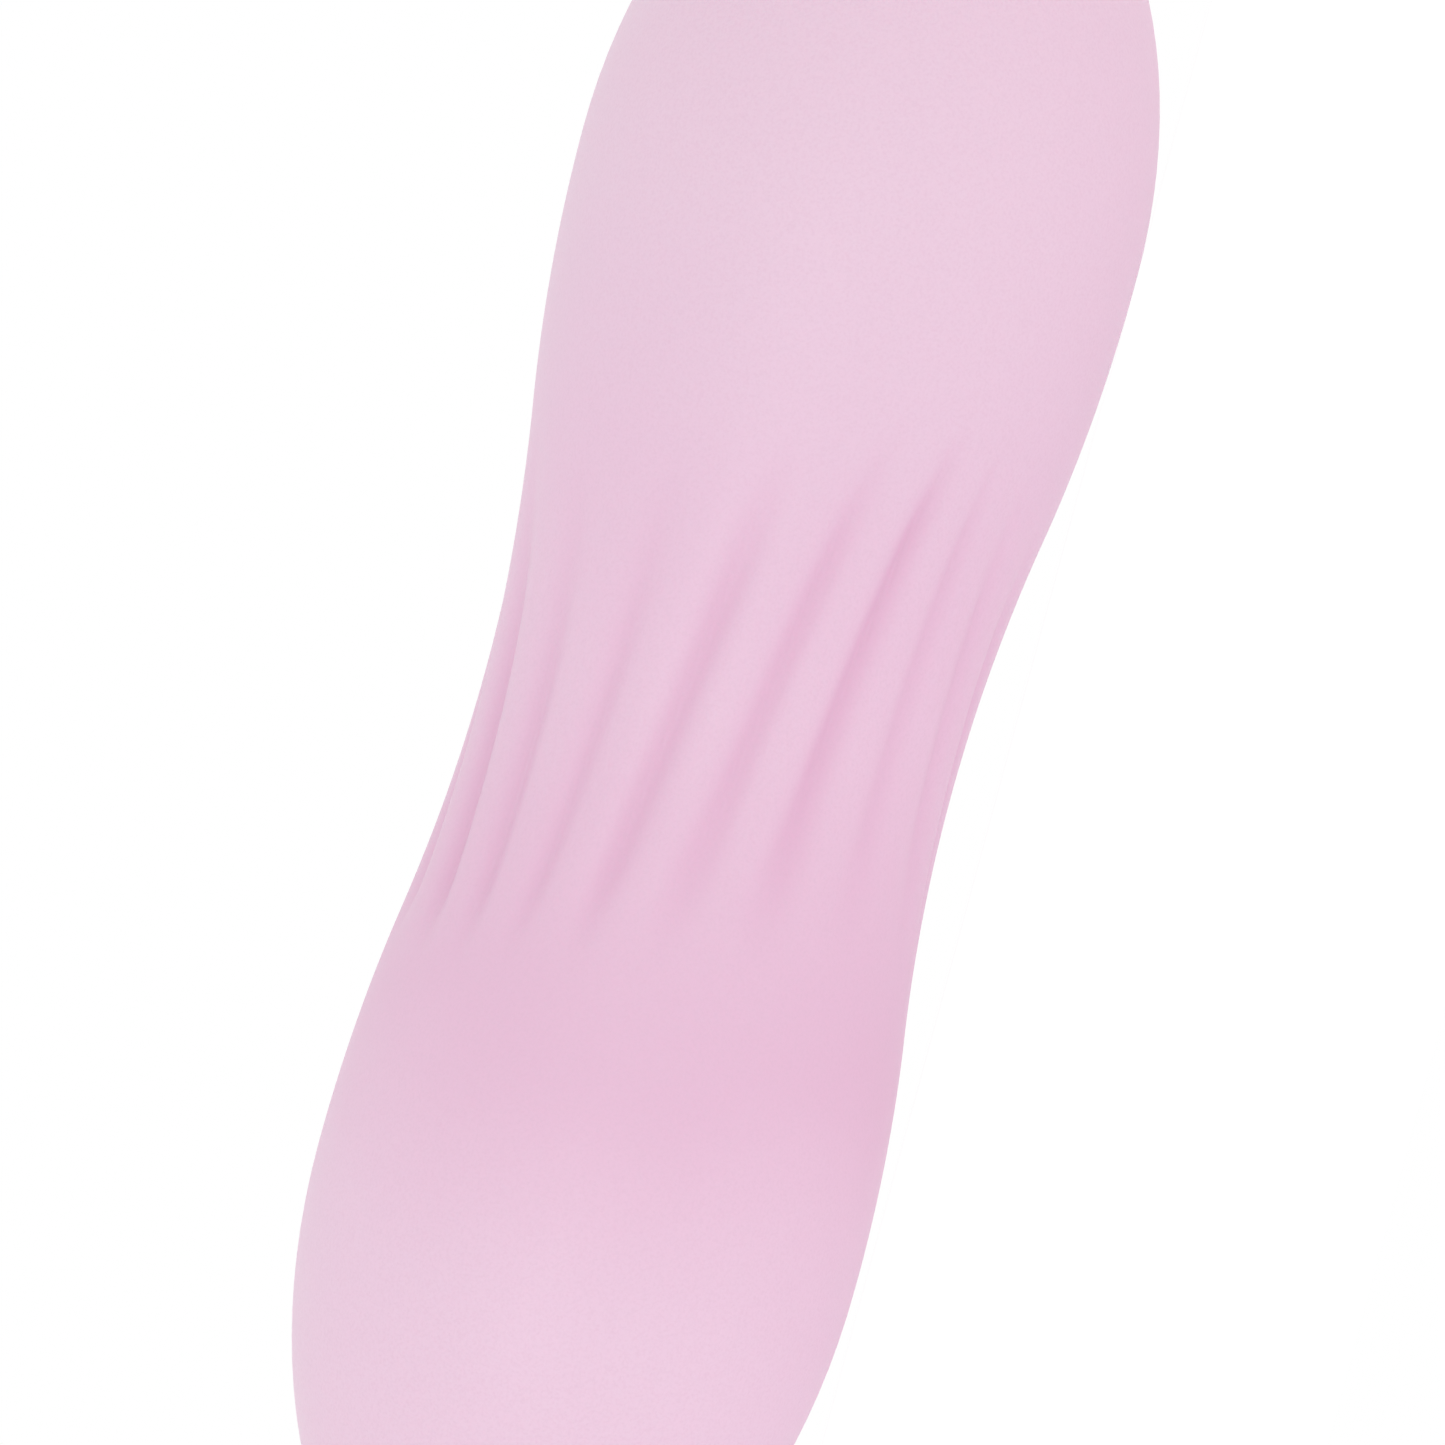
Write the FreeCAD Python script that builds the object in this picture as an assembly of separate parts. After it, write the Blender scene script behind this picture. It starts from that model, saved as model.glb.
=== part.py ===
"""Pull buoy: a two-part moulded soft skin over a core of three laminated foam sheets.

Row frame, in millimetres: the buoy lies on its broad side with its long axis along X, the upper
lobe towards +X, its narrow front face towards -Y, and the floor at Z = 0.
"""

import FreeCAD, Part

import math
import os

# Outline of the narrow face, measured from the waist along the long axis.
WAIST_RADIUS = 29.6
UPPER_LOBE_RADIUS = 35.2
LOWER_LOBE_RADIUS = 34.1
UPPER_CREST_OFFSET = 68.0  # waist to the widest point of the upper lobe
LOWER_CREST_OFFSET = 61.0
UPPER_CAP_LENGTH = 53.5  # widest point to the rounded end
LOWER_CAP_LENGTH = 57.5

# Section across the long axis: a round nose, a straight side and a round nose.
SIDE_LENGTH = 46.0

# Skin, and the lap joint that holds its two halves together.
SKIN_WALL = 4.0
TONGUE_THICKNESS = 1.8
TONGUE_HEIGHT = 2.5
JOINT_CLEARANCE = 0.15

# Foam core.
BOND_GAP = 0.2  # adhesive film between the core and the skin
MIDDLE_SHEET_THICKNESS = 20.0

# Flutes pressed into the waist. Girth is counted in degrees: 180 round each nose and 90 along
# each straight side, so one turn is 540 degrees, and girth 0 faces -Y.
NOSE_GIRTH = 180.0
SIDE_GIRTH = 90.0
FLUTE_COUNT = 28
FLUTE_DEPTH = 1.5
FLUTE_CUTTER_RADIUS = 2.6
FLUTE_RUN_OUT = 0.6  # how far the cutter stands off the skin where a flute ends
FLUTE_FULLNESS = 0.7  # below 1 the flutes deepen quickly from their ends
FLUTE_TWIST = 0.31  # degrees of girth per millimetre of height, where the lean is greatest
FLUTE_STEPS = 8  # stretches of each cutter's path
RUN_WAVES = 2  # waves of lean and of run length in each 360 degrees of girth
UPPER_RUN = 36.0  # waist to the mean upper end of the flutes
UPPER_RUN_SWING = 10.0
UPPER_RUN_PHASE = 20.0  # degrees
LOWER_RUN = 29.0  # waist to the mean lower end of the flutes
LOWER_RUN_SWING = 5.5
LOWER_RUN_PHASE = -35.0  # degrees

HALF_TURN = 180.0
FULL_GIRTH = 2 * (NOSE_GIRTH + SIDE_GIRTH)

TOTAL_LENGTH = UPPER_CAP_LENGTH + UPPER_CREST_OFFSET + LOWER_CREST_OFFSET + LOWER_CAP_LENGTH
WAIST_X = (LOWER_CREST_OFFSET + LOWER_CAP_LENGTH) - TOTAL_LENGTH / 2
AXIS_Z = max(UPPER_LOBE_RADIUS, LOWER_LOBE_RADIUS)
HALF_SIDE = SIDE_LENGTH / 2
CORE_OFFSET = SKIN_WALL + BOND_GAP
LENGTHWISE = FreeCAD.Vector(1, 0, 0)


def bend_radius(waist, lobe, crest):
    """Radius of the two equal arcs that lead from the waist out to a lobe's crest."""
    rise = lobe - waist
    return (crest**2 + rise**2) / (4 * rise)


def radius_at(height):
    """Half width of the outline at a height above the waist, no further out than a crest."""
    lobe = UPPER_LOBE_RADIUS if height > 0 else LOWER_LOBE_RADIUS
    crest = UPPER_CREST_OFFSET if height > 0 else LOWER_CREST_OFFSET
    bend = bend_radius(WAIST_RADIUS, lobe, crest)
    distance = abs(height)
    if distance <= crest / 2:
        return WAIST_RADIUS + bend - math.sqrt(bend**2 - distance**2)
    return lobe - bend + math.sqrt(bend**2 - (crest - distance) ** 2)


def half_outline(offset, y, side):
    """Edges of one half of the outline in the plane y, moved inwards by offset.

    They lie above the long axis (side = 1) or below it (side = -1). Each round end is a quarter
    of an ellipse.
    """

    def place(height, radius):
        return FreeCAD.Vector(WAIST_X + height, y, AXIS_Z + side * radius)

    waist = WAIST_RADIUS - offset
    edges = []
    for end, crest, cap, lobe in (
        (-1, LOWER_CREST_OFFSET, LOWER_CAP_LENGTH - offset, LOWER_LOBE_RADIUS - offset),
        (1, UPPER_CREST_OFFSET, UPPER_CAP_LENGTH - offset, UPPER_LOBE_RADIUS - offset),
    ):
        bend = bend_radius(waist, lobe, crest)
        quarter = crest / 4
        drop = bend - math.sqrt(bend**2 - quarter**2)
        low = place(0, waist)
        low_middle = place(end * quarter, waist + drop)
        turn = place(end * crest / 2, (waist + lobe) / 2)
        high_middle = place(end * (crest - quarter), lobe - drop)
        high = place(end * crest, lobe)
        corner = place(end * (crest + cap), lobe)
        tip = place(end * (crest + cap), 0)
        round_end = Part.BSplineCurve()
        round_end.buildFromPolesMultsKnots(
            [high, corner, tip], [3, 3], [0, 1], False, 2, [1, math.sqrt(0.5), 1]
        )
        edges.append(Part.Arc(low, low_middle, turn).toShape())
        edges.append(Part.Arc(turn, high_middle, high).toShape())
        edges.append(round_end.toShape())
    return edges


def block(offset, y_from, y_to):
    """The outline, moved inwards by offset, carried straight from y_from to y_to."""
    edges = half_outline(offset, y_from, 1) + half_outline(offset, y_from, -1)
    outline = Part.Wire(Part.__sortEdges__(edges))
    return Part.Face(outline).extrude(FreeCAD.Vector(0, y_to - y_from, 0))


def nose(offset, y, direction):
    """Half a turn of the outline about the long axis in the plane y, bulging towards direction."""
    length = TOTAL_LENGTH - 2 * offset
    axis_line = Part.makeLine(
        FreeCAD.Vector(-length / 2, y, AXIS_Z), FreeCAD.Vector(length / 2, y, AXIS_Z)
    )
    edges = half_outline(offset, y, 1) + [axis_line]
    half_face = Part.Face(Part.Wire(Part.__sortEdges__(edges)))
    return half_face.revolve(FreeCAD.Vector(0, y, AXIS_Z), LENGTHWISE, -HALF_TURN * direction)


def body(offset):
    """The whole buoy moved inwards by offset."""
    middle = block(offset, -HALF_SIDE, HALF_SIDE)
    whole = middle.multiFuse([nose(offset, -HALF_SIDE, -1), nose(offset, HALF_SIDE, 1)])
    return whole.removeSplitter()


def girth_place(girth, height, stand_off):
    """Point at a girth angle and a height above the waist, stand_off outside the smooth skin."""
    radius = radius_at(height) + stand_off
    front_end = NOSE_GIRTH / 2
    back_start = front_end + SIDE_GIRTH
    back_end = back_start + NOSE_GIRTH
    girth = (girth + front_end) % FULL_GIRTH - front_end
    if girth <= front_end:
        angle = math.radians(girth)
        y, z = -HALF_SIDE - radius * math.cos(angle), -radius * math.sin(angle)
    elif girth <= back_start:
        share = (girth - front_end) / SIDE_GIRTH
        y, z = -HALF_SIDE + SIDE_LENGTH * share, -radius
    elif girth <= back_end:
        angle = math.radians(girth - back_start)
        y, z = HALF_SIDE + radius * math.sin(angle), -radius * math.cos(angle)
    else:
        share = (girth - back_end) / SIDE_GIRTH
        y, z = HALF_SIDE - SIDE_LENGTH * share, radius
    return FreeCAD.Vector(WAIST_X + height, y, AXIS_Z + z)


def flute_cutter(girth):
    """Round cutter that dips into the skin along one leaning flute and runs out at both ends."""
    wave = RUN_WAVES * girth
    top = UPPER_RUN + UPPER_RUN_SWING * math.sin(math.radians(wave + UPPER_RUN_PHASE))
    bottom = LOWER_RUN_SWING * math.sin(math.radians(wave + LOWER_RUN_PHASE)) - LOWER_RUN
    places = []
    for step in range(FLUTE_STEPS + 1):
        share = step / FLUTE_STEPS
        height = bottom + (top - bottom) * share
        dip = math.sin(math.pi * share) ** FLUTE_FULLNESS
        sink = (FLUTE_DEPTH + FLUTE_RUN_OUT) * dip
        stand_off = FLUTE_CUTTER_RADIUS + FLUTE_RUN_OUT - sink
        lean = FLUTE_TWIST * math.cos(math.radians(wave)) * height
        places.append(girth_place(girth + lean, height, stand_off))
    spine = Part.BSplineCurve()
    spine.interpolate(places)
    start, heading = spine.value(spine.FirstParameter), spine.tangent(spine.FirstParameter)
    ring = Part.Wire(Part.Circle(start, heading[0], FLUTE_CUTTER_RADIUS).toShape())
    return Part.Wire(spine.toShape()).makePipeShell([ring], True, True)


def flute_cutters():
    """One cutter for each flute round the waist."""
    pitch = FULL_GIRTH / FLUTE_COUNT
    return [flute_cutter(pitch * (index + 0.5)) for index in range(FLUTE_COUNT)]


def skins():
    """The front and back skins, lapped along the plane Y = 0 and fluted round the waist."""
    reach = 2 * TOTAL_LENGTH
    shell = body(0).cut(body(SKIN_WALL))
    corner = FreeCAD.Vector(-reach / 2, -reach, -reach / 2)
    front_space = Part.makeBox(reach, reach, reach, corner)
    front = shell.common(front_space)
    back = shell.cut(front_space)
    cutters = flute_cutters()
    front = front.cut(cutters)
    back = back.cut(cutters)
    lap = SKIN_WALL - TONGUE_THICKNESS
    root = -TONGUE_HEIGHT
    tongue = block(lap, root, TONGUE_HEIGHT).cut(block(SKIN_WALL, root, TONGUE_HEIGHT))
    groove = block(lap - JOINT_CLEARANCE, 0, TONGUE_HEIGHT + JOINT_CLEARANCE)
    front = front.fuse(tongue).removeSplitter()
    back = back.cut(groove)
    return front, back


def foam_sheets():
    """The lower, middle and upper sheets of the core, cut from the skin's inner form."""
    core = body(CORE_OFFSET)
    reach = 2 * TOTAL_LENGTH
    half = MIDDLE_SHEET_THICKNESS / 2
    sheets = []
    for low, high in ((-reach, -half), (-half, half), (half, reach)):
        corner = FreeCAD.Vector(-reach / 2, -reach / 2, AXIS_Z + low)
        slab = Part.makeBox(reach, reach, high - low, corner)
        sheets.append(core.common(slab))
    return sheets


def main():
    """Builds every piece and writes one STEP file for each."""
    os.makedirs("parts", exist_ok=True)
    front, back = skins()
    lower, middle, upper = foam_sheets()
    pieces = {
        "front_skin": front,
        "back_skin": back,
        "lower_foam_sheet": lower,
        "middle_foam_sheet": middle,
        "upper_foam_sheet": upper,
    }
    for name, shape in pieces.items():
        print(name, "solids:", len(shape.Solids), "valid:", shape.isValid())
        shape.exportStep(os.path.join("parts", name + ".step"))


main()
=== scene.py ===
"""Looks of the pull buoy: two soft moulded skins over a core of three laminated foam sheets.

Everything is in metres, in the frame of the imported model: the buoy lies on its broad side on the
floor at Z = 0, with its long axis along X and its narrow front face towards -Y.

Girth is counted in degrees round the section: 180 round each nose and 90 along each straight side.
Height is counted along X, from the waist towards the upper lobe.
"""

import logging
import math
from dataclasses import dataclass
from enum import Enum

import bmesh
import bpy
import numpy as np
from mathutils import Matrix, Vector


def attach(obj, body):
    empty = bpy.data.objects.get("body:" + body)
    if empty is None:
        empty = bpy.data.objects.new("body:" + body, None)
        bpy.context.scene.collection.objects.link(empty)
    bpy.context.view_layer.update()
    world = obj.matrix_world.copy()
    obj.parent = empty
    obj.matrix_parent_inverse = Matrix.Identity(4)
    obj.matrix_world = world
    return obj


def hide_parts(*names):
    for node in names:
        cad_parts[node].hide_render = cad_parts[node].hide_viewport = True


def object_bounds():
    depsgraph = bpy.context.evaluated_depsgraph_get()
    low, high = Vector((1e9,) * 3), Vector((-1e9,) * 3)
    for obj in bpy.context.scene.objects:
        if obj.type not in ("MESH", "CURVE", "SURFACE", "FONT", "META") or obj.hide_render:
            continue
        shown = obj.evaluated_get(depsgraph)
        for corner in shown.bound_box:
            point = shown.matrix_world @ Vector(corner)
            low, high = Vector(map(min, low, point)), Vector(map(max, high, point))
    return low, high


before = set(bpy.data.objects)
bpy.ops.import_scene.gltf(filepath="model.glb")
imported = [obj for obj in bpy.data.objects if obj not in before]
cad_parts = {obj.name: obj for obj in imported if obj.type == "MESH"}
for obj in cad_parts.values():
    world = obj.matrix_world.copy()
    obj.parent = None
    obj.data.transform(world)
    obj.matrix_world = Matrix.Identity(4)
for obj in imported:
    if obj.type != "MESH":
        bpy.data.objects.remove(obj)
CAD_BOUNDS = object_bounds()

LOG = logging.getLogger("pull_buoy")
MILLIMETRE = 0.001
NOSE_GIRTH = 180.0
SIDE_GIRTH = 90.0
FULL_GIRTH = 2 * (NOSE_GIRTH + SIDE_GIRTH)
FULL_TURN = 360.0
QUARTER_TURN = 90.0
BACK_NOSE = FULL_GIRTH / 2
GIRTH_WAVES = 3
SMALLEST = 1e-9
JOINING_DISTANCE = 0.002 * MILLIMETRE

Colour = tuple[float, float, float, float]
Socket = bpy.types.NodeSocket
Outputs = bpy.types.NodeOutputs


class Half(Enum):
    """The two halves of the skin, with the direction each bulges in along Y."""

    FRONT = -1
    BACK = 1


class Layer(Enum):
    """The three sheets of the core, from the floor up."""

    LOWER = -1
    MIDDLE = 0
    UPPER = 1


def srgb(red: int, green: int, blue: int) -> Colour:
    """Turns a colour on the usual 0 to 255 scale into Blender's linear values.

    Args:
        red: Red on the 0 to 255 scale.
        green: Green on the 0 to 255 scale.
        blue: Blue on the 0 to 255 scale.

    Returns:
        The linear colour with an alpha of 1.
    """
    shares = [value / 255 for value in (red, green, blue)]
    linear = [s / 12.92 if s <= 0.04045 else ((s + 0.055) / 1.055) ** 2.4 for s in shares]
    return (linear[0], linear[1], linear[2], 1.0)


@dataclass(frozen=True)
class BuoyForm:
    """The smooth form of the buoy, before its flutes are pressed in.

    The narrow face's outline is a waist, two lobes and two elliptical ends. The section across
    the long axis is a stadium: a round nose, a straight side and a round nose.
    """

    length: float
    depth: float
    upper_lobe: float
    waist: float = 29.6 * MILLIMETRE
    lower_lobe: float = 34.1 * MILLIMETRE
    upper_crest: float = 68.0 * MILLIMETRE
    lower_crest: float = 61.0 * MILLIMETRE
    upper_cap: float = 53.5 * MILLIMETRE
    fluted_share: float = 0.7

    @classmethod
    def from_bounds(cls, low: Vector, high: Vector) -> "BuoyForm":
        """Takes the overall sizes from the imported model's box.

        Args:
            low: The box's lowest corner.
            high: The box's highest corner.

        Returns:
            The form that fills that box.
        """
        return cls(length=high[0] - low[0], depth=high[1] - low[1], upper_lobe=(high[2] - low[2]) / 2)

    @property
    def lower_cap(self) -> float:
        """Length of the lower elliptical end."""
        return self.length - self.upper_cap - self.upper_crest - self.lower_crest

    @property
    def half_side(self) -> float:
        """Half the straight side of the section."""
        return self.depth / 2 - self.upper_lobe

    @property
    def waist_x(self) -> float:
        """Place of the waist along X."""
        return self.lower_crest + self.lower_cap - self.length / 2

    @property
    def axis_z(self) -> float:
        """Height of the long axis above the floor."""
        return self.upper_lobe

    @property
    def side_arc(self) -> float:
        """Metres of skin for a degree of girth along a straight side."""
        return 2 * self.half_side / SIDE_GIRTH

    def radius(self, height: np.ndarray, inset: float = 0.0) -> np.ndarray:
        """Half width of the outline.

        Args:
            height: Distances from the waist along the long axis.
            inset: How far the whole form is moved inwards.

        Returns:
            The half width at each height.
        """
        upper = height > 0
        distance = np.abs(height)
        waist = self.waist - inset
        lobe = np.where(upper, self.upper_lobe, self.lower_lobe) - inset
        crest = np.where(upper, self.upper_crest, self.lower_crest)
        cap = np.where(upper, self.upper_cap, self.lower_cap) - inset
        rise = lobe - waist
        bend = (crest**2 + rise**2) / (4 * rise)
        near = waist + bend - np.sqrt(bend**2 - np.minimum(distance, crest) ** 2)
        far = lobe - bend + np.sqrt(bend**2 - np.clip(crest - distance, 0, crest) ** 2)
        beyond = np.clip((distance - crest) / cap, 0, 1)
        end = lobe * np.sqrt(1 - beyond**2)
        return np.where(distance <= crest / 2, near, np.where(distance <= crest, far, end))

    def stations(self, inset: float, cap_rows: int, lobe_step: float, waist_step: float) -> np.ndarray:
        """Heights of the rows of a mesh, close together where the flutes are.

        Args:
            inset: How far the whole form is moved inwards.
            cap_rows: Rows on each elliptical end.
            lobe_step: Spacing on the lobes.
            waist_step: Spacing round the waist.

        Returns:
            The heights from the lower tip to the upper one.
        """
        turns = np.linspace(0, math.pi / 2, cap_rows + 1)[1:]
        lower_end = -(self.lower_crest + (self.lower_cap - inset) * np.sin(turns[::-1]))
        upper_end = self.upper_crest + (self.upper_cap - inset) * np.sin(turns)
        low, high = -self.lower_crest * self.fluted_share, self.upper_crest * self.fluted_share
        lower_lobe = np.linspace(-self.lower_crest, low, round((low + self.lower_crest) / lobe_step))
        middle = np.linspace(low, high, round((high - low) / waist_step))
        upper_lobe = np.linspace(high, self.upper_crest, round((self.upper_crest - high) / lobe_step))
        return np.concatenate([lower_end, lower_lobe[:-1], middle, upper_lobe[1:], upper_end])


def grid_faces(numbers: np.ndarray) -> list[tuple[int, ...]]:
    """Joins a grid of point numbers into faces.

    Args:
        numbers: Point numbers by row and column.

    Returns:
        One face for each cell of the grid.
    """
    corners = (numbers[:-1, :-1], numbers[:-1, 1:], numbers[1:, 1:], numbers[1:, :-1])
    return [tuple(int(n) for n in face) for face in np.stack(corners, axis=-1).reshape(-1, 4)]


def closed_mesh(name: str, places: np.ndarray, faces: list[tuple[int, ...]],
                stored: dict[str, np.ndarray]) -> bpy.types.Object:
    """Makes a smooth closed mesh whose coinciding points are joined.

    Args:
        name: Name of the object.
        places: One row for each point.
        faces: Point numbers of each face.
        stored: Numbers or vectors to keep on the points, by name.

    Returns:
        The object, linked to the scene, with its faces pointing outwards.
    """
    mesh = bpy.data.meshes.new(name)
    mesh.from_pydata(places.tolist(), [], faces)
    for key, values in stored.items():
        kind, slot = ("FLOAT", "value") if values.ndim == 1 else ("FLOAT_VECTOR", "vector")
        layer = mesh.attributes.new(key, kind, "POINT")
        layer.data.foreach_set(slot, values.astype(np.float32).ravel())
    work = bmesh.new()
    work.from_mesh(mesh)
    bmesh.ops.remove_doubles(work, verts=work.verts, dist=JOINING_DISTANCE)
    bmesh.ops.dissolve_degenerate(work, edges=work.edges, dist=JOINING_DISTANCE / 2)
    bmesh.ops.recalc_face_normals(work, faces=work.faces)
    work.to_mesh(mesh)
    work.free()
    mesh.shade_smooth()
    piece = bpy.data.objects.new(name, mesh)
    bpy.context.scene.collection.objects.link(piece)
    return piece


class NodeBench:
    """Places and joins the nodes of one tree, so that a tree reads as a list of steps."""

    column_width = 180

    def __init__(self, tree: bpy.types.NodeTree) -> None:
        """Works on a tree.

        Args:
            tree: The node tree to fill.
        """
        self.tree = tree
        self.column = 0

    def add(self, kind: str, feeds: dict[str | int, object] | None = None,
            **settings: object) -> bpy.types.Node:
        """Adds a node and feeds its inputs.

        Args:
            kind: The node's type name.
            feeds: Sockets or plain values that go in, by the input's name or number.
            **settings: Properties to set on it.

        Returns:
            The new node.
        """
        node = self.tree.nodes.new(kind)
        node.location = (self.column * self.column_width, 0)
        self.column += 1
        for key, value in settings.items():
            setattr(node, key, value)
        for key, source in (feeds or {}).items():
            self.join(source, node.inputs[key])
        return node

    def join(self, source: object, target: Socket) -> None:
        """Feeds a socket from another socket, or sets it to a plain value.

        Args:
            source: An output socket, or a value for the input.
            target: The input socket.
        """
        if isinstance(source, Socket):
            self.tree.links.new(source, target)
        else:
            target.default_value = source

    def math(self, operation: str, *values: object) -> Socket:
        """Works out one number.

        Args:
            operation: Name of the operation.
            *values: Sockets or numbers that go in.

        Returns:
            The result's socket.
        """
        return self.add("ShaderNodeMath", dict(enumerate(values)), operation=operation).outputs[0]

    def remap(self, value: object, low: object, high: object, start: object, end: object,
              smooth: bool = True) -> Socket:
        """Carries a value from one range to another, held at its ends.

        Args:
            value: The value that goes in.
            low: Start of the range that goes in.
            high: End of the range that goes in.
            start: What comes out at low.
            end: What comes out at high.
            smooth: Whether the step eases in and out.

        Returns:
            The result's socket.
        """
        feeds = {"Value": value, "From Min": low, "From Max": high, "To Min": start, "To Max": end}
        kind = "SMOOTHSTEP" if smooth else "LINEAR"
        return self.add("ShaderNodeMapRange", feeds, interpolation_type=kind).outputs["Result"]

    def mix(self, share: object, first: object, second: object) -> Socket:
        """Mixes two colours.

        Args:
            share: How much of the second colour, from 0 to 1.
            first: A colour or its socket.
            second: A colour or its socket.

        Returns:
            The mixed colour's socket.
        """
        feeds = {"Factor": share, 6: first, 7: second}
        return self.add("ShaderNodeMix", feeds, data_type="RGBA").outputs[2]

    def surface(self, shader: Socket, kind: str = "ShaderNodeOutputMaterial") -> None:
        """Ends the tree with a shader's surface."""
        self.add(kind, {"Surface": shader})


def blank_material(name: str) -> tuple[bpy.types.Material, NodeBench]:
    """Makes a material whose tree is empty.

    Args:
        name: Name of the material.

    Returns:
        The material, and a bench for its tree.
    """
    material = bpy.data.materials.new(name)
    material.use_nodes = True
    material.node_tree.nodes.clear()
    return material, NodeBench(material.node_tree)


class FluteInput(Enum):
    """Named inputs of the tree that presses the flutes."""

    COUNT = "Count"
    PITCH = "Pitch"
    SPACING_SWING = "Spacing Swing"
    TWIST = "Twist"
    TWIST_PHASE = "Twist Phase"
    DEPTH = "Depth"
    DEPTH_SWING = "Depth Swing"
    DEPTH_PHASE = "Depth Phase"
    CORE_WIDTH = "Core Width"
    CORE_SHARE = "Core Share"
    FLARE = "Flare"
    UPPER_RUN = "Upper Run"
    UPPER_SWING = "Upper Swing"
    UPPER_PHASE = "Upper Phase"
    UPPER_FADE = "Upper Fade"
    UPPER_FADE_SWING = "Upper Fade Swing"
    LOWER_RUN = "Lower Run"
    LOWER_SWING = "Lower Swing"
    LOWER_PHASE = "Lower Phase"
    LOWER_FADE = "Lower Fade"
    LOWER_FADE_SWING = "Lower Fade Swing"
    UNEVENNESS = "Unevenness"
    SEED = "Seed"
    FINISH = "Finish"


@dataclass(frozen=True)
class FluteEnd:
    """Where the flutes end on one side of the waist, as waves of girth.

    The run is the height at which a flute is half as deep as in its middle, and the fade is the
    length over which it runs out. The waves are so many round the full girth.
    """

    run: float
    swing: float
    phase: float
    fade: float
    fade_swing: float
    waves: int


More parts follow.
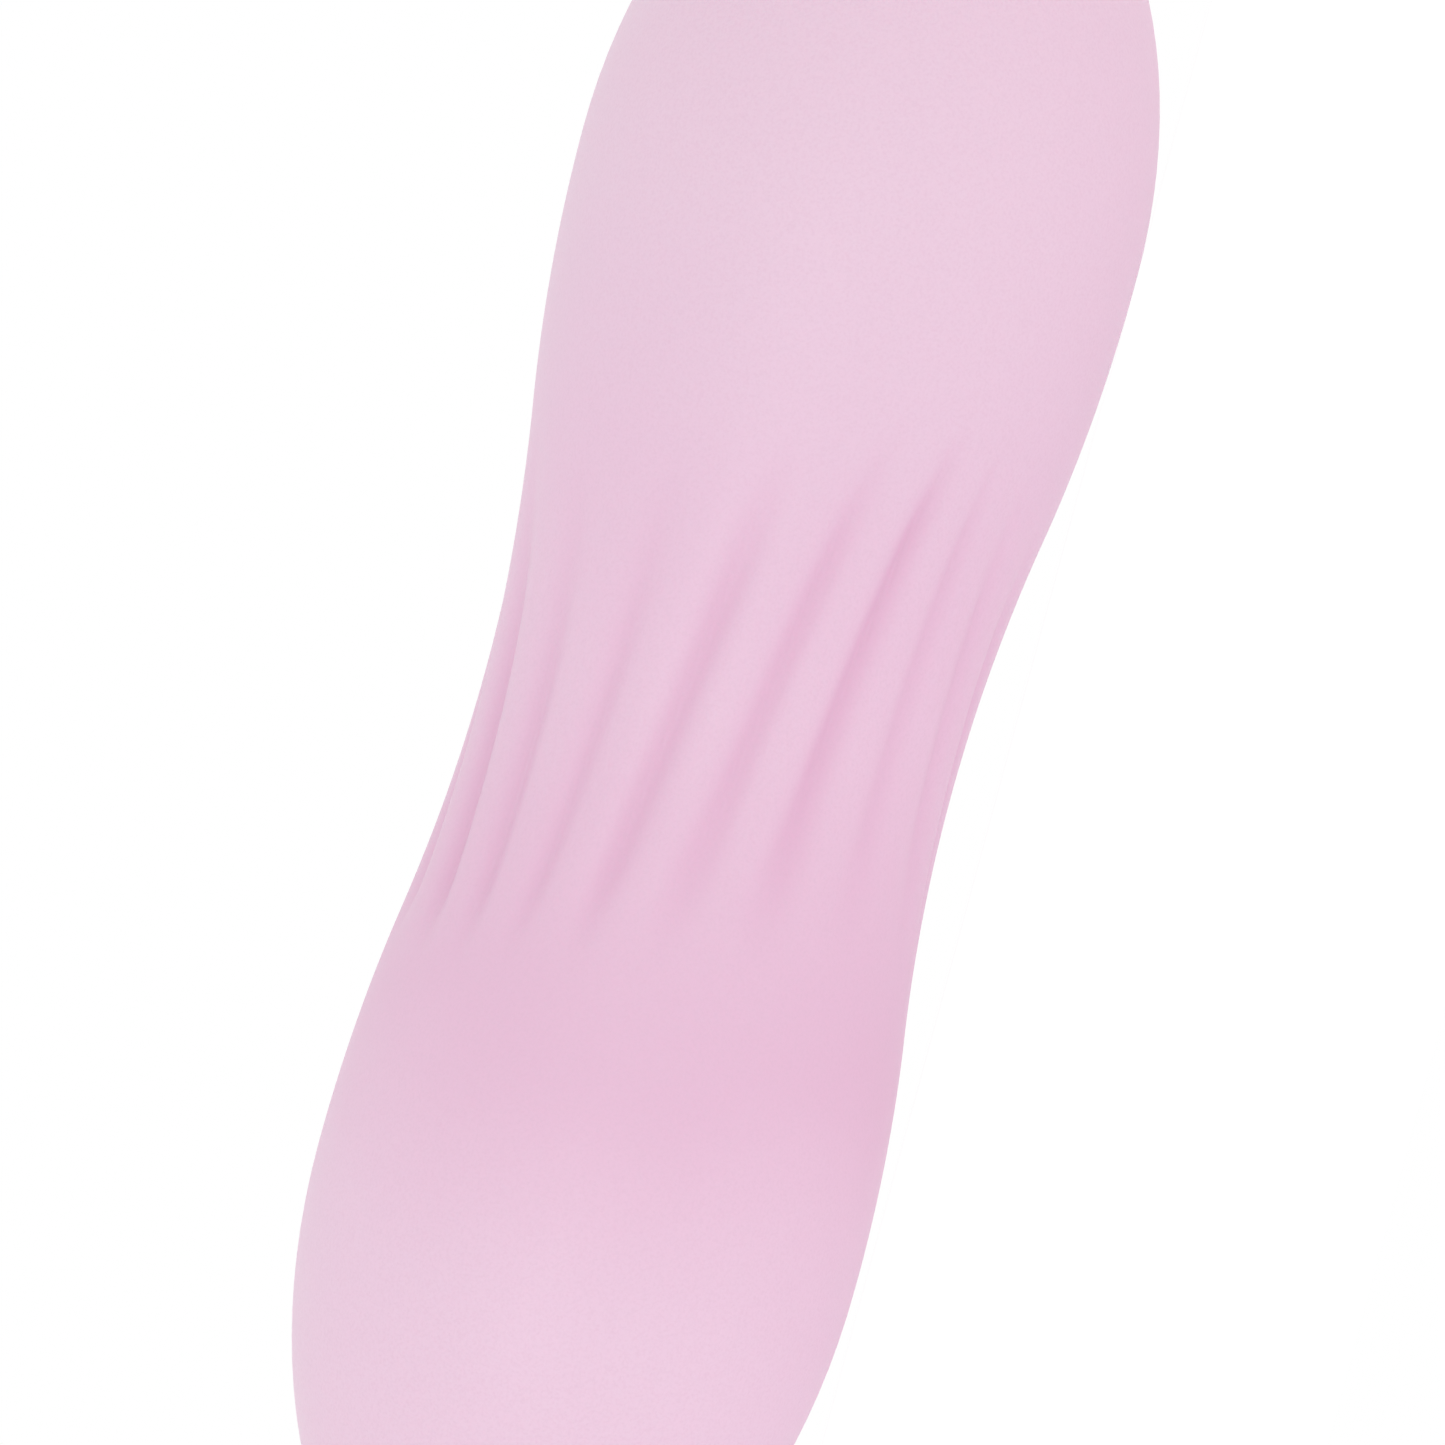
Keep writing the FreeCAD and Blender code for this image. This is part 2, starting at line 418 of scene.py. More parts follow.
@dataclass(frozen=True)
class FlutePress:
    """Presses slanting flutes into a skin round the waist.

    A flute is known by its girth at the waist. Its lean, its spacing, its depth and its two ends
    follow waves of that girth, and its depth differs a little from its neighbours'. The twist is
    in degrees of girth for a metre of height.
    """

    count: int = 28
    spacing_swing: float = 1.3
    twist: float = 290.0
    twist_phase: float = -8.0
    depth: float = 1.5 * MILLIMETRE
    depth_swing: float = 0.3
    depth_phase: float = 45.0
    depth_waves: int = 1
    core_width: float = 1.55 * MILLIMETRE
    core_share: float = 0.62
    flare: float = 0.7
    end_flare: float = 0.4
    flare_relief: float = 0.4
    flared_waves: tuple[float, float] = (-0.2, 0.6)
    upper: FluteEnd = FluteEnd(run=27.0 * MILLIMETRE, swing=11.0 * MILLIMETRE, phase=18.0,
                               fade=31.0 * MILLIMETRE, fade_swing=-12.0 * MILLIMETRE,
                               waves=GIRTH_WAVES)
    lower: FluteEnd = FluteEnd(run=-22.5 * MILLIMETRE, swing=7.5 * MILLIMETRE, phase=-10.0,
                               fade=18.0 * MILLIMETRE, fade_swing=5.0 * MILLIMETRE, waves=2)
    unevenness: float = 0.25
    seed: int = 1100
    rounds: int = 6

    @property
    def pitch(self) -> float:
        """Girth from one flute to the next, in degrees."""
        return FULL_GIRTH / self.count

    def setting(self, item: FluteInput) -> float:
        """Finds what an input of the tree is set to, on the press or on one of the flutes' ends.

        Args:
            item: The input.

        Returns:
            Its value.
        """
        name = item.name.lower()
        side, _, rest = name.partition("_")
        ends = {"upper": self.upper, "lower": self.lower}
        return getattr(ends[side], rest) if side in ends else getattr(self, name)

    def tree(self) -> bpy.types.NodeTree:
        """Builds the tree once and hands out the same one after that.

        Returns:
            The geometry tree.
        """
        name = "press_flutes"
        if name in bpy.data.node_groups:
            return bpy.data.node_groups[name]
        tree = bpy.data.node_groups.new(name, "GeometryNodeTree")
        tree.interface.new_socket("Geometry", in_out="INPUT", socket_type="NodeSocketGeometry")
        kinds = {FluteInput.COUNT: "NodeSocketInt", FluteInput.SEED: "NodeSocketInt",
                 FluteInput.FINISH: "NodeSocketMaterial"}
        for item in FluteInput:
            kind = kinds.get(item, "NodeSocketFloat")
            tree.interface.new_socket(item.value, in_out="INPUT", socket_type=kind)
        tree.interface.new_socket("Geometry", in_out="OUTPUT", socket_type="NodeSocketGeometry")
        bench = NodeBench(tree)
        given = bench.add("NodeGroupInput").outputs
        height = self._read(bench, "height")
        own = self._own_girth(bench, given, height)
        turns = self._turns(bench, given, own)
        number = bench.math("FLOORED_MODULO", bench.math("FLOOR", turns), given[FluteInput.COUNT.value])
        window = self._window(bench, given, height, own)
        flare = self._flare(bench, given, height, own, window)
        groove = self._groove(bench, given, turns, flare)
        spread = given[FluteInput.UNEVENNESS.value]
        chance = bench.add("FunctionNodeRandomValue", {
            2: bench.math("SUBTRACT", 1.0, spread), 3: bench.math("ADD", 1.0, spread),
            "ID": number, "Seed": given[FluteInput.SEED.value]}, data_type="FLOAT")
        phase = given[FluteInput.DEPTH_PHASE.value]
        depth_wave = self._wave(bench, own, phase, "COSINE", self.depth_waves)
        depth_share = bench.math("MULTIPLY_ADD", bench.math("SUBTRACT", depth_wave, 1.0),
                                 given[FluteInput.DEPTH_SWING.value], chance.outputs[1])
        relief = bench.math("MULTIPLY_ADD", flare, self.flare_relief, 1.0)
        share = bench.math("MULTIPLY", bench.math("MULTIPLY", window, groove),
                           bench.math("DIVIDE", depth_share, relief))
        share = bench.math("MULTIPLY", share, self._read(bench, "press"))
        depth = bench.math("MULTIPLY", share, given[FluteInput.DEPTH.value])
        push = bench.add("ShaderNodeVectorMath", {
            0: self._read(bench, "outward", "FLOAT_VECTOR"),
            "Scale": bench.math("MULTIPLY", depth, -1.0)}, operation="SCALE")
        skin = given["Geometry"]
        # The stored flute share is also what paints shade into the valleys in the skin's material.
        for kind, feeds, settings in (
            ("GeometryNodeStoreNamedAttribute", {"Name": "flute", "Value": share}, {"domain": "POINT"}),
            ("GeometryNodeSetPosition", {"Offset": push.outputs["Vector"]}, {}),
            ("GeometryNodeRealizeInstances", {}, {}),
            ("GeometryNodeSetMaterial", {"Material": given[FluteInput.FINISH.value]}, {}),
        ):
            skin = bench.add(kind, {"Geometry": skin, **feeds}, **settings).outputs["Geometry"]
        bench.add("NodeGroupOutput", {"Geometry": skin})
        return tree

    @staticmethod
    def _read(bench: NodeBench, name: str, kind: str = "FLOAT") -> Socket:
        """Reads one of the skin's stored values.

        Args:
            bench: The tree being built.
            name: Name of the stored value.
            kind: Its data type.

        Returns:
            The value's socket.
        """
        feeds = {"Name": name}
        return bench.add("GeometryNodeInputNamedAttribute", feeds, data_type=kind).outputs["Attribute"]

    @staticmethod
    def _wave(bench: NodeBench, girth: Socket, phase: object, operation: str,
              waves: int = GIRTH_WAVES) -> Socket:
        """Works out a wave that repeats a whole number of times round the full girth.

        Args:
            bench: The tree being built.
            girth: The girth in degrees.
            phase: The wave's phase in degrees.
            operation: Whether it is a sine or a cosine.
            waves: How often it repeats.

        Returns:
            The wave's socket, from -1 to 1.
        """
        turned = bench.math("MULTIPLY_ADD", girth, waves * FULL_TURN / FULL_GIRTH, phase)
        return bench.math(operation, bench.math("RADIANS", turned))

    def _own_girth(self, bench: NodeBench, given: Outputs,
                   height: Socket) -> Socket:
        """Undoes the lean of the line that a point lies on, step by step.

        Args:
            bench: The tree being built.
            given: The tree's inputs.
            height: Height above the waist.

        Returns:
            The girth that the point's line has at the waist.
        """
        girth = self._read(bench, "girth")
        twist = bench.math("MULTIPLY", given[FluteInput.TWIST.value], height)
        own = girth
        for _ in range(self.rounds):
            wave = self._wave(bench, own, given[FluteInput.TWIST_PHASE.value], "COSINE")
            own = bench.math("SUBTRACT", girth, bench.math("MULTIPLY", twist, wave))
        return own

    def _turns(self, bench: NodeBench, given: Outputs,
               own: Socket) -> Socket:
        """Counts flutes round the girth, with their spacing a little uneven.

        Args:
            bench: The tree being built.
            given: The tree's inputs.
            own: The girth that the point's line has at the waist.

        Returns:
            The count, which is whole on a ridge.
        """
        spaced = bench.math("MULTIPLY_ADD", self._wave(bench, own, 0.0, "SINE"),
                            given[FluteInput.SPACING_SWING.value], own)
        return bench.math("DIVIDE", spaced, given[FluteInput.PITCH.value])

    def _window(self, bench: NodeBench, given: Outputs, height: Socket,
                own: Socket) -> Socket:
        """Fades the flutes out at their two ends.

        Args:
            bench: The tree being built.
            given: The tree's inputs.
            height: Height above the waist.
            own: The girth that the point's line has at the waist.

        Returns:
            A share from 0 outside the flutes to 1 in their middle.
        """
        shares = []
        for side, waves, inner, outer in (("Upper", self.upper.waves, 1.0, 0.0),
                                          ("Lower", self.lower.waves, 0.0, 1.0)):
            wave = self._wave(bench, own, given[f"{side} Phase"], "SINE", waves)
            middle = bench.math("MULTIPLY_ADD", wave, given[f"{side} Swing"], given[f"{side} Run"])
            fade = bench.math("MULTIPLY_ADD", wave, given[f"{side} Fade Swing"], given[f"{side} Fade"])
            start = bench.math("MULTIPLY_ADD", fade, -0.5, middle)
            end = bench.math("MULTIPLY_ADD", fade, 0.5, middle)
            shares.append(bench.remap(height, start, end, inner, outer))
        return bench.math("MULTIPLY", *shares)

    def _flare(self, bench: NodeBench, given: Outputs, height: Socket,
               own: Socket, window: Socket) -> Socket:
        """Widens the flutes where they run out, and some of them all the way below the waist.

        Args:
            bench: The tree being built.
            given: The tree's inputs.
            height: Height above the waist.
            own: The girth that the point's line has at the waist.
            window: The share that fades the flutes out.

        Returns:
            How much wider a flute is, as a share of its width.
        """
        low = bench.remap(height, given[FluteInput.LOWER_RUN.value], 0.0, 1.0, 0.0)
        wave = self._wave(bench, own, given[FluteInput.UPPER_PHASE.value], "SINE")
        chosen = bench.remap(wave, *self.flared_waves, 0.0, 1.0)
        run_out = bench.math("MULTIPLY_ADD", window, -self.end_flare, self.end_flare)
        open_share = bench.math("MAXIMUM", bench.math("MULTIPLY", low, chosen), run_out)
        return bench.math("MULTIPLY", open_share, given[FluteInput.FLARE.value])

    def _groove(self, bench: NodeBench, given: Outputs, turns: Socket,
                flare: Socket) -> Socket:
        """Shapes a flute's section: a narrow core in a wide shallow valley.

        Args:
            bench: The tree being built.
            given: The tree's inputs.
            turns: The count of flutes, which is whole on a ridge.
            flare: How much wider the flute is, as a share of its width.

        Returns:
            A share from 0 on the ridge to 1 in the valley's middle.
        """
        pitch = given[FluteInput.PITCH.value]
        phase = bench.math("SUBTRACT", bench.math("FRACT", turns), 0.5)
        arc = bench.math("MULTIPLY", pitch, self._read(bench, "arc"))
        width = bench.math("MULTIPLY_ADD", given[FluteInput.CORE_WIDTH.value], flare,
                           given[FluteInput.CORE_WIDTH.value])
        off = bench.math("DIVIDE", bench.math("MULTIPLY", phase, arc), width)
        core = bench.math("EXPONENT", bench.math("MULTIPLY", bench.math("MULTIPLY", off, off), -1.0))
        valley = bench.math("COSINE", bench.math("MULTIPLY", phase, 2 * math.pi))
        valley = bench.math("MULTIPLY_ADD", valley, 0.5, 0.5)
        share = given[FluteInput.CORE_SHARE.value]
        core = bench.math("MULTIPLY", core, share)
        valley = bench.math("MULTIPLY", valley, bench.math("SUBTRACT", 1.0, share))
        return bench.math("ADD", core, valley)

    def press(self, skin: bpy.types.Object, finish: bpy.types.Material) -> None:
        """Presses the flutes into a skin and keeps the result as its plain mesh.

        Args:
            skin: The skin, with its girth, height, arc, press and outward values.
            finish: The skin's material.
        """
        modifier = skin.modifiers.new("flutes", "NODES")
        modifier.node_group = self.tree()
        sockets = {item.name: item.identifier for item in modifier.node_group.interface.items_tree
                   if item.in_out == "INPUT"}
        for item in FluteInput:
            value = finish if item is FluteInput.FINISH else self.setting(item)
            modifier[sockets[item.value]] = value
        depsgraph = bpy.context.evaluated_depsgraph_get()
        pressed = bpy.data.meshes.new_from_object(
            skin.evaluated_get(depsgraph), preserve_all_data_layers=True, depsgraph=depsgraph)
        skin.modifiers.clear()
        plain = skin.data
        skin.data = pressed
        pressed.name = skin.name
        bpy.data.meshes.remove(plain)


def fine_grain_group() -> bpy.types.NodeTree:
    """Builds the grain that every moulded and cut foam surface shares.

    Returns:
        A shader group that puts out a height for bumps and a slow mottle, both from 0 to 1.
    """
    name = "fine_grain"
    if name in bpy.data.node_groups:
        return bpy.data.node_groups[name]
    tree = bpy.data.node_groups.new(name, "ShaderNodeTree")
    for label in ("Grain Scale", "Mottle Scale", "Cell Share"):
        tree.interface.new_socket(label, in_out="INPUT", socket_type="NodeSocketFloat")
    for label in ("Height", "Mottle"):
        tree.interface.new_socket(label, in_out="OUTPUT", socket_type="NodeSocketFloat")
    bench = NodeBench(tree)
    given = bench.add("NodeGroupInput").outputs
    place = bench.add("ShaderNodeTexCoord").outputs["Object"]
    fine = {"Vector": place, "Scale": given["Grain Scale"]}
    slow = {"Vector": place, "Scale": given["Mottle Scale"]}
    grain = bench.add("ShaderNodeTexNoise", {**fine, "Detail": 3.0, "Roughness": 0.6})
    cells = bench.add("ShaderNodeTexVoronoi", fine, feature="SMOOTH_F1")
    mottle = bench.add("ShaderNodeTexNoise", {**slow, "Detail": 2.0})
    height = bench.add("ShaderNodeMix", {
        "Factor": given["Cell Share"], "A": grain.outputs["Fac"], "B": cells.outputs["Distance"],
    }, data_type="FLOAT")
    bench.add("NodeGroupOutput", {"Height": height.outputs["Result"], "Mottle": mottle.outputs["Fac"]})
    return tree


@dataclass(frozen=True)
class SoftSkinFinish:
    """Matt soft-touch moulded skin in pink, with painted highlights on its two lobes, painted shade on
    its lower shoulder and round its waist, and painted shade down in its flutes.

    The tones are colours at heights above the waist: the skin's pink with painted light in it, lighter
    on the two lobes as a painted highlight and darker on the lower shoulder and round the waist as
    painted shade. A pair is a range of grain, mottle or flute depth, from 0 to 1, and the fleck's
    ranges are shares of a cell.
    """

    skin_and_shade_tones: tuple[tuple[float, Colour], ...] = (
        (-110.0 * MILLIMETRE, srgb(236, 203, 223)),
        (-72.0 * MILLIMETRE, srgb(236, 205, 225)),
        (-50.0 * MILLIMETRE, srgb(234, 196, 219)),
        (-36.0 * MILLIMETRE, srgb(230, 187, 213)),
        (0.0 * MILLIMETRE, srgb(235, 201, 222)),
        (20.0 * MILLIMETRE, srgb(234, 197, 220)),
        (40.0 * MILLIMETRE, srgb(233, 200, 221)),
        (70.0 * MILLIMETRE, srgb(235, 206, 224)),
        (110.0 * MILLIMETRE, srgb(235, 202, 221)),
    )
    flute_shade_colour: Colour = srgb(229, 178, 208)
    grain_colour: Colour = srgb(222, 184, 207)
    fleck_colour: Colour = srgb(196, 150, 172)
    roughness: float = 0.45
    grain_scale: float = 2600.0
    mottle_scale: float = 26.0
    grain_height: float = 0.025 * MILLIMETRE
    grain_tint: float = 0.32
    grain_cells: float = 0.25
    tinted_grain: tuple[float, float] = (0.25, 0.6)
    mottled: tuple[float, float] = (0.3, 0.7)
    roughness_swing: float = 0.03
    unevenness: float = 5.0 * MILLIMETRE
    flute_shade_strength: float = 0.65
    shaded_flute_depths: tuple[float, float] = (0.04, 1.0)
    fleck_scale: float = 95.0
    fleck_rarity: float = 0.985
    fleck_edge: tuple[float, float] = (0.015, 0.035)
    fleck_tint: float = 0.45
    softness: float = 0.15
    soft_radius: tuple[float, float, float] = (1.0, 0.55, 0.7)
    soft_reach: float = 1.2 * MILLIMETRE

    def material(self, form: BuoyForm) -> bpy.types.Material:
        """Builds the material.

        Args:
            form: The buoy's form, which says where the waist is.

        Returns:
            The material.
        """
        material, bench = blank_material("soft_moulded_skin")
        grain = bench.add("ShaderNodeGroup", {
            "Grain Scale": self.grain_scale, "Mottle Scale": self.mottle_scale,
            "Cell Share": self.grain_cells,
        }, node_tree=fine_grain_group())
        height, mottle = grain.outputs["Height"], grain.outputs["Mottle"]
        rough, swing = self.roughness, self.roughness_swing
        bump = bench.add("ShaderNodeBump", {"Distance": self.grain_height, "Height": height})
        shader = bench.add("ShaderNodeBsdfPrincipled", {
            "Base Color": self._tinted(bench, form, height, mottle),
            "Roughness": bench.remap(mottle, *self.mottled, rough - swing, rough + swing),
            "Normal": bump.outputs["Normal"],
            "Subsurface Weight": self.softness,
            "Subsurface Radius": self.soft_radius,
            "Subsurface Scale": self.soft_reach,
        })
        bench.surface(shader.outputs["BSDF"])
        return material

    def _tinted(self, bench: NodeBench, form: BuoyForm, grain: Socket,
                mottle: Socket) -> Socket:
        """Mixes the colour from its place on the buoy, with painted highlights and shade along its
        length and painted shade in the flutes.

        Args:
            bench: The tree being built.
            form: The buoy's form.
            grain: The fine grain's height, from 0 to 1.
            mottle: A slow variation from 0 to 1.

        Returns:
            The colour's socket.
        """
        place = bench.add("ShaderNodeTexCoord").outputs["Object"]
        split = bench.add("ShaderNodeSeparateXYZ", {"Vector": place})
        uneven = bench.remap(mottle, *self.mottled, -self.unevenness, self.unevenness)
        height = bench.math("SUBTRACT", split.outputs["X"], form.waist_x)
        height = bench.math("ADD", height, uneven)
        # The ramp paints highlights on the two lobes and shade on the lower shoulder and round the
        # waist over the skin's pink.
        first, last = self.skin_and_shade_tones[0][0], self.skin_and_shade_tones[-1][0]
        along = bench.remap(height, first, last, 0.0, 1.0, smooth=False)
        ramp = bench.add("ShaderNodeValToRGB", {"Fac": along})
        ramp.color_ramp.interpolation = "B_SPLINE"
        for level, _ in self.skin_and_shade_tones[1:-1]:
            ramp.color_ramp.elements.new((level - first) / (last - first))
        for stop, (_, tone) in zip(ramp.color_ramp.elements, self.skin_and_shade_tones):
            stop.color = tone
        # Painted shade: the flute valleys are darkened in colour by how deep the flute is there.
        flute = bench.add("ShaderNodeAttribute", attribute_name="flute").outputs["Fac"]
        flute_shade_share = bench.remap(flute, *self.shaded_flute_depths, 0.0, self.flute_shade_strength, smooth=False)
        body = bench.mix(flute_shade_share, ramp.outputs["Color"], self.flute_shade_colour)
        low_grain = bench.remap(grain, *self.tinted_grain, self.grain_tint, 0.0)
        body = bench.mix(low_grain, body, self.grain_colour)
        fleck = bench.add("ShaderNodeTexVoronoi", {"Scale": self.fleck_scale, "Vector": place})
        cell = bench.add("ShaderNodeSeparateColor", {"Color": fleck.outputs["Color"]})
        chosen = bench.math("GREATER_THAN", cell.outputs["Red"], self.fleck_rarity)
        speck = bench.remap(fleck.outputs["Distance"], *self.fleck_edge, self.fleck_tint, 0.0)
        return bench.mix(bench.math("MULTIPLY", chosen, speck), body, self.fleck_colour)


@dataclass(frozen=True)
class CellFoamFinish:
    """Off-white closed-cell foam, cut from a sheet.

    The pore depths are a range of the grain's height, from 0 to 1.
    """

    colour: Colour = srgb(240, 237, 233)
    pore_colour: Colour = srgb(212, 206, 200)
    roughness: float = 0.85
    cell_scale: float = 1400.0
    cell_height: float = 0.08 * MILLIMETRE
    cell_share: float = 0.85
    mottle_scale: float = 60.0
    pore_depths: tuple[float, float] = (0.2, 0.6)

    def material(self) -> bpy.types.Material:
        """Builds the material.

        Returns:
            The material.
        """
        material, bench = blank_material("closed_cell_foam")
        grain = bench.add("ShaderNodeGroup", {
            "Grain Scale": self.cell_scale, "Mottle Scale": self.mottle_scale,
            "Cell Share": self.cell_share,
        }, node_tree=fine_grain_group())
        height = grain.outputs["Height"]
        pores = bench.remap(height, *self.pore_depths, 0.0, 1.0)
        bump = bench.add("ShaderNodeBump", {"Distance": self.cell_height, "Height": height})
        shader = bench.add("ShaderNodeBsdfPrincipled", {
            "Base Color": bench.mix(pores, self.pore_colour, self.colour),
            "Roughness": self.roughness,
            "Normal": bump.outputs["Normal"],
        })
        bench.surface(shader.outputs["BSDF"])
        return material


@dataclass
class SkinHalf:
    """One half of the moulded skin, closed on itself, with its share of the lap joint.

    The front half carries a tongue along its rim, and the back half the groove for it.
    """

    half: Half
    form: BuoyForm
    wall: float = 4.0 * MILLIMETRE
    tongue_thickness: float = 1.8 * MILLIMETRE
    tongue_height: float = 2.5 * MILLIMETRE
    clearance: float = 0.15 * MILLIMETRE
    rim_easing: float = 0.3 * MILLIMETRE
    cap_rows: int = 26
    lobe_step: float = 2.0 * MILLIMETRE
    waist_step: float = 0.8 * MILLIMETRE
    outer_columns: tuple[int, int] = (48, 130)
    inner_columns: tuple[int, int] = (8, 56)
    easing_rings: int = 3

    @property
    def node(self) -> str:
        """The CAD node that this skin stands for."""
        return f"{self.half.name.lower()}_skin"

    @property
    def name(self) -> str:
        """Name of the finished piece."""
        return f"soft_{self.node}"

    def _sheet(self, inset: float, rim: float, columns: tuple[int, int],
               press: float) -> dict[str, np.ndarray]:
        """Lays out one side of the wall as a grid of rows and columns.

        Args:
            inset: How far inside the smooth form the sheet lies.
            rim: Where the sheet starts, measured from the parting plane towards the nose.
            columns: Columns on each straight side, and round the nose.
            press: How much of the flutes' depth the sheet takes.

        Returns:
            The places, girths, heights, arcs, presses and outward directions, row by row.
        """
        form, way = self.form, self.half.value
        height = form.stations(inset, self.cap_rows, self.lobe_step, self.waist_step)[:, None]
        radius = form.radius(height, inset)
        side = np.linspace(rim, form.half_side, columns[0] + 1)[:-1]
        turn = np.linspace(-QUARTER_TURN, QUARTER_TURN, columns[1] + 1)
        across = np.concatenate([side, np.full(turn.size, form.half_side), side[::-1]])
        local = np.concatenate([np.full(side.size, turn[0]), turn, np.full(side.size, turn[-1])])
        level, bulge = -np.sin(np.radians(local)), np.cos(np.radians(local))
        on_nose = bulge > SMALLEST
        lap = np.where(on_nose, 0, (form.half_side - across) / form.side_arc)
        girth = local + np.sign(local) * lap
        shape = (height.size, across.size)
        values = {
            "girth": girth if self.half is Half.FRONT else BACK_NOSE - girth,
            "height": height,
            "arc": np.where(on_nose, np.radians(radius), form.side_arc),
            "press": np.array(press),
        }
        places = np.broadcast_arrays(form.waist_x + height, way * (across + radius * bulge),
                                     form.axis_z + radius * level)
        outward = np.stack([np.zeros_like(bulge), way * bulge, level], axis=-1)
        return {
            "places": np.stack(places, axis=-1),
            **{key: np.broadcast_to(value, shape) for key, value in values.items()},
            "outward": np.broadcast_to(outward, (*shape, 3)),
        }

    def _rim(self) -> list[tuple[float, float, float]]:
        """Lists the rim's rings from the outer side of the wall to the inner one.

        Returns:
            For each ring its inset, its distance past the parting plane towards the nose, and
            whether the flutes press it.
        """
        ease = self.rim_easing
        rings = []
        for step in range(1, self.easing_rings + 1):
            turn = math.pi / 2 * step / self.easing_rings
            rings.append((ease * (1 - math.cos(turn)), ease * (1 - math.sin(turn)), 1.0))
        lap = self.wall - self.tongue_thickness
        if self.half is Half.FRONT:
            return rings + [(lap, 0.0, 0.0), (lap, -self.tongue_height, 0.0)]
        gap = self.clearance
        return rings + [(lap - gap, 0.0, 0.0), (lap - gap, self.tongue_height + gap, 0.0)]

    def _inner_start(self) -> float:
        """Where the inner side of the wall starts, from the parting plane towards the nose."""
        return -self.tongue_height if self.half is Half.FRONT else self.tongue_height + self.clearance

    def build(self) -> bpy.types.Object:
        """Builds the skin as one closed mesh, still without flutes.

        Returns:
            The skin, with its girth, height, arc, press and outward values.
        """
        sheets = [self._sheet(0.0, self.rim_easing, self.outer_columns, 1.0)]
        for inset, rim, press in self._rim():
            ring = self._sheet(inset, rim, (1, 1), press)
            sheets.append({key: values[:, [0, -1]] for key, values in ring.items()})
        sheets.append(self._sheet(self.wall, self._inner_start(), self.inner_columns, 0.0))
        faces: list[tuple[int, ...]] = []
        edges: list[tuple[np.ndarray, np.ndarray]] = []
        base = 0
        for sheet in sheets:
            shape = sheet["girth"].shape
            numbers = base + np.arange(math.prod(shape)).reshape(shape)
            if sheet is sheets[0] or sheet is sheets[-1]:
                faces.extend(grid_faces(numbers))
            edges.append((numbers[:, [0]], numbers[:, [-1]]))
            base += numbers.size
        for first, second in zip(edges, edges[1:]):
            for outer, inner in zip(first, second):
                faces.extend(grid_faces(np.hstack([outer, inner])))
        stored = {key: np.concatenate([sheet[key].reshape(-1, *sheet[key].shape[2:])
                                       for sheet in sheets]) for key in sheets[0]}
        return closed_mesh(self.name, stored.pop("places"), faces, stored)

    def dress(self, skin: bpy.types.Object, press: FlutePress, finish: bpy.types.Material) -> None:
        """Presses the flutes and puts the skin in the place of its CAD node.

        Args:
            skin: The skin from build.
            press: The press that makes the flutes.
            finish: The skin's material.
        """
        press.press(skin, finish)
        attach(skin, "root")
        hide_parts(self.node)


